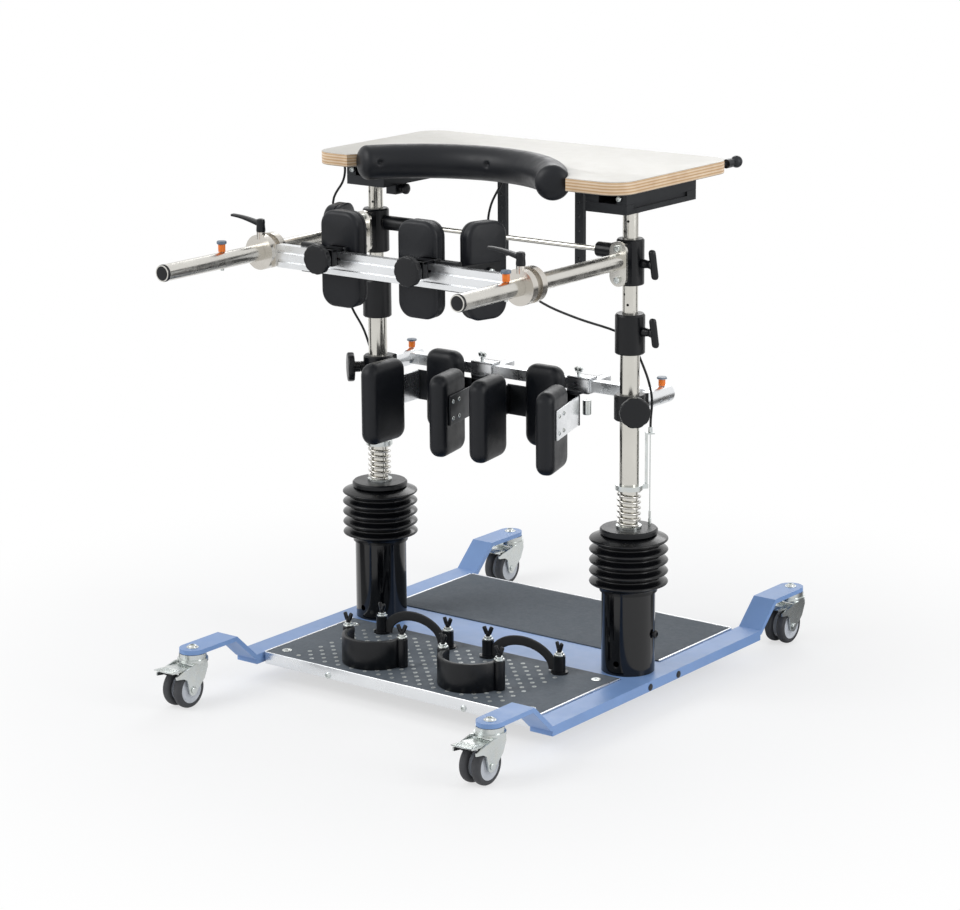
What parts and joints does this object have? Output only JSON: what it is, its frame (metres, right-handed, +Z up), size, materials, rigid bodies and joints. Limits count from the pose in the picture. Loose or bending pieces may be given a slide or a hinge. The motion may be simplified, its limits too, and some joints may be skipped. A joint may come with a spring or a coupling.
{
  "type": "dynamic standing frame",
  "caption": "Wheeled standing frame for rehabilitation: a blue base with decks and casters, sprung columns, knee cups, pelvis pads on handlebars, and a table with a padded cut-out.",
  "frame": {"origin": "On the floor, under the middle of the outline of the whole frame (bounding-box bottom centre).", "axes": "+Z up, +X to the side of the right column as seen from behind the user, +Y the way the user faces, toward the table."},
  "size_m": [0.788, 1.178, 1.058],
  "materials": {
    "base_paint": "pale blue powder coat, satin",
    "deck_plate": "dark grey slip-resistant plate",
    "deck_mat": "dark grey fine-ribbed mat",
    "edge_metal": "plain aluminium and zinc-plated screws",
    "column_paint": "gloss black powder coat",
    "bellows_rubber": "black rubber, satin",
    "black_plastic": "black glass-filled plastic, satin",
    "zinc_plate": "bright zinc plate",
    "bright_chrome": "chrome plate",
    "tube_steel": "polished stainless steel",
    "tyre_rubber": "dark grey tyres on pale grey hubs",
    "pad_foam": "black integral-skin foam",
    "cable_black": "black cable sheath",
    "raw_aluminium": "plain drawn aluminium",
    "pin_orange": "orange anodised pin heads",
    "table_ply": "birch plywood with pale grey laminate",
    "strap_rubber": "black rubber strap"
  },
  "bodies": {
    "base": {"base_frame": "base_paint", "front_deck": "deck_plate", "rear_deck": "deck_mat", "deck_trim": "edge_metal", "column_housings": "column_paint", "bellows": "bellows_rubber", "heel_cups": "black_plastic", "foot_posts": "black_plastic", "instep_straps": "strap_rubber", "foot_knobs": "black_plastic"},
    "front_left_swivel": {"front_left_fork": "zinc_plate"},
    "front_left_wheel_pair": {"front_left_wheels": "tyre_rubber"},
    "front_left_brake": {"front_left_pedal": "zinc_plate"},
    "front_right_swivel": {"front_right_fork": "zinc_plate"},
    "front_right_wheel_pair": {"front_right_wheels": "tyre_rubber"},
    "front_right_brake": {"front_right_pedal": "zinc_plate"},
    "rear_left_swivel": {"rear_left_fork": "zinc_plate"},
    "rear_left_wheel_pair": {"rear_left_wheels": "tyre_rubber"},
    "rear_left_brake": {"rear_left_pedal": "zinc_plate"},
    "rear_right_swivel": {"rear_right_fork": "zinc_plate"},
    "rear_right_wheel_pair": {"rear_right_wheels": "tyre_rubber"},
    "rear_right_brake": {"rear_right_pedal": "zinc_plate"},
    "columns": {"outer_tubes": "tube_steel", "cap_discs": "column_paint", "springs": "bright_chrome", "collars": "bright_chrome", "clamp_sleeves": "black_plastic", "lock_cables": "cable_black"},
    "left_height_screw": {"left_height_knob": "black_plastic"},
    "right_height_screw": {"right_height_knob": "black_plastic"},
    "height_tubes": {"inner_tubes": "tube_steel", "table_brackets": "column_paint"},
    "pelvis_carrier": {"pelvis_sleeves": "black_plastic", "handlebars": "tube_steel", "cross_rod": "tube_steel", "handlebar_pins": "pin_orange"},
    "left_pelvis_screw": {"left_pelvis_knob": "black_plastic"},
    "right_pelvis_screw": {"right_pelvis_knob": "black_plastic"},
    "pelvis_bar": {"ring_clamps": "raw_aluminium", "profile_bar": "raw_aluminium"},
    "left_clamp_lever": {"left_lever": "black_plastic"},
    "right_clamp_lever": {"right_lever": "black_plastic"},
    "left_rear_support": {"left_rear_pad": "pad_foam"},
    "left_pad_screw": {"left_pad_knob": "black_plastic"},
    "right_rear_support": {"right_rear_pad": "pad_foam"},
    "right_pad_screw": {"right_pad_knob": "black_plastic"},
    "left_side_support": {"left_lateral_pad": "pad_foam"},
    "right_side_support": {"right_lateral_pad": "pad_foam"},
    "knee_carrier": {"knee_sleeves": "black_plastic", "knee_frame": "raw_aluminium"},
    "left_knee_screw": {"left_knee_knob": "black_plastic"},
    "right_knee_screw": {"right_knee_knob": "black_plastic"},
    "left_knee_cup": {"left_knee_bracket": "raw_aluminium", "left_knee_pads": "pad_foam"},
    "right_knee_cup": {"right_knee_bracket": "raw_aluminium", "right_knee_pads": "pad_foam"},
    "table": {"table_top": "table_ply", "chest_roll": "pad_foam", "table_rails": "column_paint"},
    "table_release": {"release_knob": "black_plastic"}
  },
  "joints": [
    {"name": "front_left_swivel_turn", "type": "hinge", "parent": "base", "child": "front_left_swivel", "pos_m": [-0.3635, -0.481, 0.096], "axis": [0, 0, 1], "continuous": true},
    {"name": "front_left_wheel_roll", "type": "hinge", "parent": "front_left_swivel", "child": "front_left_wheel_pair", "pos_m": [-0.3635, -0.511, 0.0375], "axis": [1, 0, 0], "continuous": true},
    {"name": "front_left_brake_press", "type": "hinge", "parent": "front_left_swivel", "child": "front_left_brake", "pos_m": [-0.3635, -0.503, 0.0785], "axis": [1, 0, 0], "range_deg": [0, 6]},
    {"name": "front_right_swivel_turn", "type": "hinge", "parent": "base", "child": "front_right_swivel", "pos_m": [0.3635, -0.481, 0.096], "axis": [0, 0, 1], "continuous": true},
    {"name": "front_right_wheel_roll", "type": "hinge", "parent": "front_right_swivel", "child": "front_right_wheel_pair", "pos_m": [0.3635, -0.511, 0.0375], "axis": [1, 0, 0], "continuous": true},
    {"name": "front_right_brake_press", "type": "hinge", "parent": "front_right_swivel", "child": "front_right_brake", "pos_m": [0.3635, -0.503, 0.0785], "axis": [1, 0, 0], "range_deg": [0, 6]},
    {"name": "rear_left_swivel_turn", "type": "hinge", "parent": "base", "child": "rear_left_swivel", "pos_m": [-0.3635, 0.559, 0.096], "axis": [0, 0, 1], "continuous": true},
    {"name": "rear_left_wheel_roll", "type": "hinge", "parent": "rear_left_swivel", "child": "rear_left_wheel_pair", "pos_m": [-0.3635, 0.529, 0.0375], "axis": [1, 0, 0], "continuous": true},
    {"name": "rear_left_brake_press", "type": "hinge", "parent": "rear_left_swivel", "child": "rear_left_brake", "pos_m": [-0.3635, 0.537, 0.0785], "axis": [1, 0, 0], "range_deg": [0, 6]},
    {"name": "rear_right_swivel_turn", "type": "hinge", "parent": "base", "child": "rear_right_swivel", "pos_m": [0.3635, 0.559, 0.096], "axis": [0, 0, 1], "continuous": true},
    {"name": "rear_right_wheel_roll", "type": "hinge", "parent": "rear_right_swivel", "child": "rear_right_wheel_pair", "pos_m": [0.3635, 0.529, 0.0375], "axis": [1, 0, 0], "continuous": true},
    {"name": "rear_right_brake_press", "type": "hinge", "parent": "rear_right_swivel", "child": "rear_right_brake", "pos_m": [0.3635, 0.537, 0.0785], "axis": [1, 0, 0], "range_deg": [0, 6]},
    {"name": "columns_rock", "type": "hinge", "parent": "base", "child": "columns", "pos_m": [0, 0.039, 0.28], "axis": [1, 0, 0], "range_deg": [-6, 6], "stiffness_Nm_per_rad": 2500, "deforming": ["bellows", "springs"]},
    {"name": "left_height_knob_turn", "type": "hinge", "parent": "columns", "child": "left_height_screw", "pos_m": [-0.35, 0.039, 0.737], "axis": [-1, 0, 0], "continuous": true},
    {"name": "right_height_knob_turn", "type": "hinge", "parent": "columns", "child": "right_height_screw", "pos_m": [0.35, 0.039, 0.737], "axis": [1, 0, 0], "continuous": true},
    {"name": "height_slide", "type": "slide", "parent": "columns", "child": "height_tubes", "axis": [0, 0, 1], "range_m": [-0.02, 0.15], "deforming": ["lock_cables"]},
    {"name": "pelvis_height_slide", "type": "slide", "parent": "height_tubes", "child": "pelvis_carrier", "axis": [0, 0, 1], "range_m": [-0.025, 0.02]},
    {"name": "left_pelvis_knob_turn", "type": "hinge", "parent": "pelvis_carrier", "child": "left_pelvis_screw", "pos_m": [-0.35, 0.039, 0.868], "axis": [-1, 0, 0], "continuous": true},
    {"name": "right_pelvis_knob_turn", "type": "hinge", "parent": "pelvis_carrier", "child": "right_pelvis_screw", "pos_m": [0.35, 0.039, 0.868], "axis": [1, 0, 0], "continuous": true},
    {"name": "pelvis_bar_slide", "type": "slide", "parent": "pelvis_carrier", "child": "pelvis_bar", "axis": [0, 1, 0], "range_m": [-0.02, 0.12]},
    {"name": "left_lever_turn", "type": "hinge", "parent": "pelvis_bar", "child": "left_clamp_lever", "pos_m": [-0.31, -0.3105, 0.92], "axis": [0, 0, 1], "range_deg": [-90, 90]},
    {"name": "right_lever_turn", "type": "hinge", "parent": "pelvis_bar", "child": "right_clamp_lever", "pos_m": [0.31, -0.3105, 0.92], "axis": [0, 0, 1], "range_deg": [-90, 90]},
    {"name": "left_rear_pad_slide", "type": "slide", "parent": "pelvis_bar", "child": "left_rear_support", "axis": [1, 0, 0], "range_m": [-0.01, 0.03]},
    {"name": "left_pad_knob_turn", "type": "hinge", "parent": "left_rear_support", "child": "left_pad_screw", "pos_m": [-0.142, -0.331, 0.883], "axis": [0, 1, 0], "continuous": true},
    {"name": "right_rear_pad_slide", "type": "slide", "parent": "pelvis_bar", "child": "right_rear_support", "axis": [1, 0, 0], "range_m": [-0.04, 0.003]},
    {"name": "right_pad_knob_turn", "type": "hinge", "parent": "right_rear_support", "child": "right_pad_screw", "pos_m": [0.076, -0.331, 0.883], "axis": [0, 1, 0], "continuous": true},
    {"name": "left_lateral_pad_slide", "type": "slide", "parent": "pelvis_bar", "child": "left_side_support", "axis": [1, 0, 0], "range_m": [-0.04, 0.003]},
    {"name": "right_lateral_pad_slide", "type": "slide", "parent": "pelvis_bar", "child": "right_side_support", "axis": [1, 0, 0], "range_m": [-0.004, 0.1]},
    {"name": "knee_height_slide", "type": "slide", "parent": "columns", "child": "knee_carrier", "axis": [0, 0, 1], "range_m": [-0.02, 0.03]},
    {"name": "left_knee_knob_turn", "type": "hinge", "parent": "knee_carrier", "child": "left_knee_screw", "pos_m": [-0.3496, -0.0006, 0.588], "axis": [-0.7071, -0.7071, 0], "continuous": true},
    {"name": "right_knee_knob_turn", "type": "hinge", "parent": "knee_carrier", "child": "right_knee_screw", "pos_m": [0.3496, -0.0006, 0.588], "axis": [0.7071, -0.7071, 0], "continuous": true},
    {"name": "left_knee_cup_slide", "type": "slide", "parent": "knee_carrier", "child": "left_knee_cup", "axis": [1, 0, 0], "range_m": [-0.01, 0.02]},
    {"name": "right_knee_cup_slide", "type": "slide", "parent": "knee_carrier", "child": "right_knee_cup", "axis": [1, 0, 0], "range_m": [-0.02, 0.06]},
    {"name": "table_depth_slide", "type": "slide", "parent": "height_tubes", "child": "table", "axis": [0, 1, 0], "range_m": [-0.05, 0.08]},
    {"name": "release_knob_pull", "type": "slide", "parent": "height_tubes", "child": "table_release", "axis": [1, 0, 0], "range_m": [0, 0.008], "stiffness_N_per_m": 800}
  ]
}
